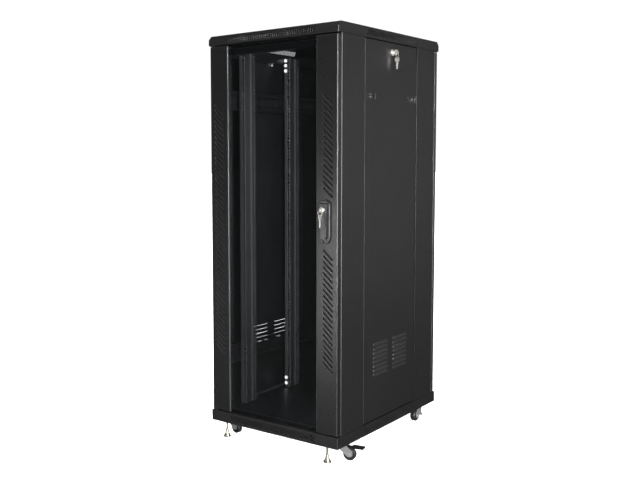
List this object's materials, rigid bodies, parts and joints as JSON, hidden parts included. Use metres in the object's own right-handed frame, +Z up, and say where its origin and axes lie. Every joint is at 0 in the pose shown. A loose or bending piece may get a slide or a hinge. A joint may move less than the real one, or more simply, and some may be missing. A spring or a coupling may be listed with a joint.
{
  "type": "network server rack cabinet",
  "caption": "Tall black rack cabinet on castors and levelling feet, with a glass front door, swing handle, lift-off side panels and perforated rails inside.",
  "frame": {"origin": "on the floor, under the centre of the plan of the base and the top cover", "axes": "+Z up; the front door faces -Y; +X towards the handle side of the front door"},
  "size_m": [0.6528, 0.843, 1.611],
  "materials": {
    "powder_coat": "fine textured satin powder coat",
    "rail_coat": "satin powder coat",
    "door_coat": "fine textured satin powder coat",
    "side_coat": "fine textured satin powder coat",
    "zinc": "bright zinc plate",
    "tinted_glass": "clear toughened glass, lightly tinted",
    "seal_rubber": "matt",
    "handle_plastic": "satin",
    "latch_plastic": "satin",
    "lock_metal": "nickel plate",
    "key_metal": "nickel plate",
    "foot_zinc": "yellow-tinted zinc plate",
    "castor_zinc": "bright zinc plate",
    "castor_wheel": "moulded",
    "brake_steel": "black"
  },
  "bodies": {
    "cabinet": {"base_frame": "powder_coat", "floor_panel": "powder_coat", "top_frame": "powder_coat", "top_cover": "powder_coat", "roof_blank_plate": "powder_coat", "front_left_post": "powder_coat", "front_right_post": "powder_coat", "rear_left_post": "powder_coat", "rear_right_post": "powder_coat", "front_left_rail": "rail_coat", "front_right_rail": "rail_coat", "rear_left_rail": "rail_coat", "rear_right_rail": "rail_coat", "lower_left_brace": "powder_coat", "lower_right_brace": "powder_coat", "upper_left_brace": "powder_coat", "upper_right_brace": "powder_coat", "rail_brackets": "powder_coat", "fasteners": "zinc", "hinge_brackets": "powder_coat", "castor_plates": "zinc"},
    "front_door": {"front_door_frame": "door_coat", "front_door_glass": "tinted_glass", "glass_seal": "seal_rubber", "handle_housing": "handle_plastic", "front_hinge_pins": "zinc"},
    "door_spindle": {"handle_spindle": "handle_plastic"},
    "door_handle": {"handle_lever": "handle_plastic"},
    "door_lock": {"handle_lock": "lock_metal", "handle_key": "key_metal"},
    "door_key_ring": {"handle_key_ring": "key_metal"},
    "door_spare_key": {"handle_spare_key": "key_metal"},
    "rear_door": {"rear_door": "door_coat", "rear_hinge_pins": "zinc"},
    "rear_lock": {"rear_door_lock": "lock_metal"},
    "left_panel": {"left_side_panel": "side_coat"},
    "left_lock": {"left_panel_lock": "lock_metal"},
    "left_front_slide_latch": {"left_front_latch": "latch_plastic"},
    "left_rear_slide_latch": {"left_rear_latch": "latch_plastic"},
    "right_panel": {"right_side_panel": "side_coat"},
    "right_lock": {"right_panel_lock": "lock_metal", "panel_key": "key_metal"},
    "right_front_slide_latch": {"right_front_latch": "latch_plastic"},
    "right_rear_slide_latch": {"right_rear_latch": "latch_plastic"},
    "side_key_ring": {"panel_key_ring": "key_metal"},
    "side_spare_key": {"panel_spare_key": "key_metal"},
    "front_left_castor": {"front_left_castor_fork": "castor_zinc"},
    "front_left_wheel": {"front_left_castor_wheel": "castor_wheel"},
    "front_right_castor": {"front_right_castor_fork": "castor_zinc"},
    "front_right_wheel": {"front_right_castor_wheel": "castor_wheel"},
    "rear_left_castor": {"rear_left_castor_fork": "castor_zinc"},
    "rear_left_wheel": {"rear_left_castor_wheel": "castor_wheel"},
    "rear_right_castor": {"rear_right_castor_fork": "castor_zinc"},
    "rear_right_wheel": {"rear_right_castor_wheel": "castor_wheel"},
    "front_left_brake": {"front_left_castor_brake": "brake_steel"},
    "front_right_brake": {"front_right_castor_brake": "brake_steel"},
    "front_left_foot_screw": {"front_left_foot": "foot_zinc"},
    "front_right_foot_screw": {"front_right_foot": "foot_zinc"},
    "rear_left_foot_screw": {"rear_left_foot": "foot_zinc"},
    "rear_right_foot_screw": {"rear_right_foot": "foot_zinc"}
  },
  "joints": [
    {"name": "front_door_swing", "type": "hinge", "parent": "cabinet", "child": "front_door", "pos_m": [-0.287, -0.383, 0.84], "axis": [0, 0, -1], "range_deg": [0, 115]},
    {"name": "handle_turn", "type": "hinge", "parent": "front_door", "child": "door_spindle", "pos_m": [0.245, -0.4, 0.957], "axis": [0, 1, 0], "range_deg": [0, 90]},
    {"name": "handle_tilt", "type": "hinge", "parent": "door_spindle", "child": "door_handle", "pos_m": [0.245, -0.40945, 0.96195], "axis": [-1, 0, 0], "range_deg": [0, 45]},
    {"name": "door_lock_turn", "type": "hinge", "parent": "door_handle", "child": "door_lock", "pos_m": [0.245, -0.415, 0.943], "axis": [0, 1, 0], "range_deg": [0, 90]},
    {"name": "door_key_ring_swing", "type": "hinge", "parent": "door_lock", "child": "door_key_ring", "pos_m": [0.245, -0.433, 0.9413], "axis": [-1, 0, 0], "range_deg": [-6, 35]},
    {"name": "door_spare_key_swing", "type": "hinge", "parent": "door_key_ring", "child": "door_spare_key", "pos_m": [0.245, -0.433, 0.9223], "axis": [-1, 0, 0], "range_deg": [-6, 35]},
    {"name": "rear_door_swing", "type": "hinge", "parent": "cabinet", "child": "rear_door", "pos_m": [0.287, 0.383, 0.84], "axis": [0, 0, -1], "range_deg": [0, 115]},
    {"name": "rear_lock_turn", "type": "hinge", "parent": "rear_door", "child": "rear_lock", "pos_m": [-0.245, 0.396, 0.84], "axis": [0, 1, 0], "range_deg": [0, 90]},
    {"name": "left_panel_lift_off", "type": "slide", "parent": "cabinet", "child": "left_panel", "axis": [-1, 0, 0], "range_m": [0, 0.12]},
    {"name": "left_lock_turn", "type": "hinge", "parent": "left_panel", "child": "left_lock", "pos_m": [-0.2945, 0, 1.533], "axis": [-1, 0, 0], "range_deg": [0, 90]},
    {"name": "left_front_latch_slide", "type": "slide", "parent": "left_panel", "child": "left_front_slide_latch", "axis": [0, 1, 0], "range_m": [0, 0.008], "stiffness_N_per_m": 150},
    {"name": "left_rear_latch_slide", "type": "slide", "parent": "left_panel", "child": "left_rear_slide_latch", "axis": [0, -1, 0], "range_m": [0, 0.008], "stiffness_N_per_m": 150},
    {"name": "right_panel_lift_off", "type": "slide", "parent": "cabinet", "child": "right_panel", "axis": [1, 0, 0], "range_m": [0, 0.12]},
    {"name": "right_lock_turn", "type": "hinge", "parent": "right_panel", "child": "right_lock", "pos_m": [0.2945, 0, 1.533], "axis": [1, 0, 0], "range_deg": [0, 90]},
    {"name": "right_front_latch_slide", "type": "slide", "parent": "right_panel", "child": "right_front_slide_latch", "axis": [0, 1, 0], "range_m": [0, 0.008], "stiffness_N_per_m": 150},
    {"name": "right_rear_latch_slide", "type": "slide", "parent": "right_panel", "child": "right_rear_slide_latch", "axis": [0, -1, 0], "range_m": [0, 0.008], "stiffness_N_per_m": 150},
    {"name": "side_key_ring_swing", "type": "hinge", "parent": "right_lock", "child": "side_key_ring", "pos_m": [0.316, 0, 1.5313], "axis": [0, -1, 0], "range_deg": [-6, 35]},
    {"name": "side_spare_key_swing", "type": "hinge", "parent": "side_key_ring", "child": "side_spare_key", "pos_m": [0.316, 0, 1.5123], "axis": [0, -1, 0], "range_deg": [-6, 35]},
    {"name": "front_left_castor_swivel", "type": "hinge", "parent": "cabinet", "child": "front_left_castor", "pos_m": [-0.266, -0.31, 0.06], "axis": [0, 0, 1], "range_deg": [-40, 280]},
    {"name": "front_left_wheel_roll", "type": "hinge", "parent": "front_left_castor", "child": "front_left_wheel", "pos_m": [-0.23646, -0.31521, 0.0246], "axis": [0.1736, 0.9848, 0], "continuous": true},
    {"name": "front_left_brake_press", "type": "hinge", "parent": "front_left_castor", "child": "front_left_brake", "pos_m": [-0.24729, -0.3133, 0.0512], "axis": [0.1736, 0.9848, 0], "range_deg": [0, 7]},
    {"name": "front_right_castor_swivel", "type": "hinge", "parent": "cabinet", "child": "front_right_castor", "pos_m": [0.266, -0.31, 0.06], "axis": [0, 0, 1], "range_deg": [-105, 215]},
    {"name": "front_right_wheel_roll", "type": "hinge", "parent": "front_right_castor", "child": "front_right_wheel", "pos_m": [0.29534, -0.30376, 0.0246], "axis": [-0.2079, 0.9781, 0], "continuous": true},
    {"name": "front_right_brake_press", "type": "hinge", "parent": "front_right_castor", "child": "front_right_brake", "pos_m": [0.28458, -0.30605, 0.0512], "axis": [-0.2079, 0.9781, 0], "range_deg": [0, 7]},
    {"name": "rear_left_castor_swivel", "type": "hinge", "parent": "cabinet", "child": "rear_left_castor", "pos_m": [-0.266, 0.31, 0.06], "axis": [0, 0, 1], "continuous": true},
    {"name": "rear_left_wheel_roll", "type": "hinge", "parent": "rear_left_castor", "child": "rear_left_wheel", "pos_m": [-0.266, 0.28, 0.0246], "axis": [1, 0, 0], "continuous": true},
    {"name": "rear_right_castor_swivel", "type": "hinge", "parent": "cabinet", "child": "rear_right_castor", "pos_m": [0.266, 0.31, 0.06], "axis": [0, 0, 1], "continuous": true},
    {"name": "rear_right_wheel_roll", "type": "hinge", "parent": "rear_right_castor", "child": "rear_right_wheel", "pos_m": [0.266, 0.28, 0.0246], "axis": [1, 0, 0], "continuous": true},
    {"name": "front_left_foot_screw_out", "type": "slide", "parent": "cabinet", "child": "front_left_foot_screw", "axis": [0, 0, 1], "range_m": [-0.02, 0]},
    {"name": "front_right_foot_screw_out", "type": "slide", "parent": "cabinet", "child": "front_right_foot_screw", "axis": [0, 0, 1], "range_m": [-0.02, 0]},
    {"name": "rear_left_foot_screw_out", "type": "slide", "parent": "cabinet", "child": "rear_left_foot_screw", "axis": [0, 0, 1], "range_m": [-0.02, 0]},
    {"name": "rear_right_foot_screw_out", "type": "slide", "parent": "cabinet", "child": "rear_right_foot_screw", "axis": [0, 0, 1], "range_m": [-0.02, 0]}
  ]
}
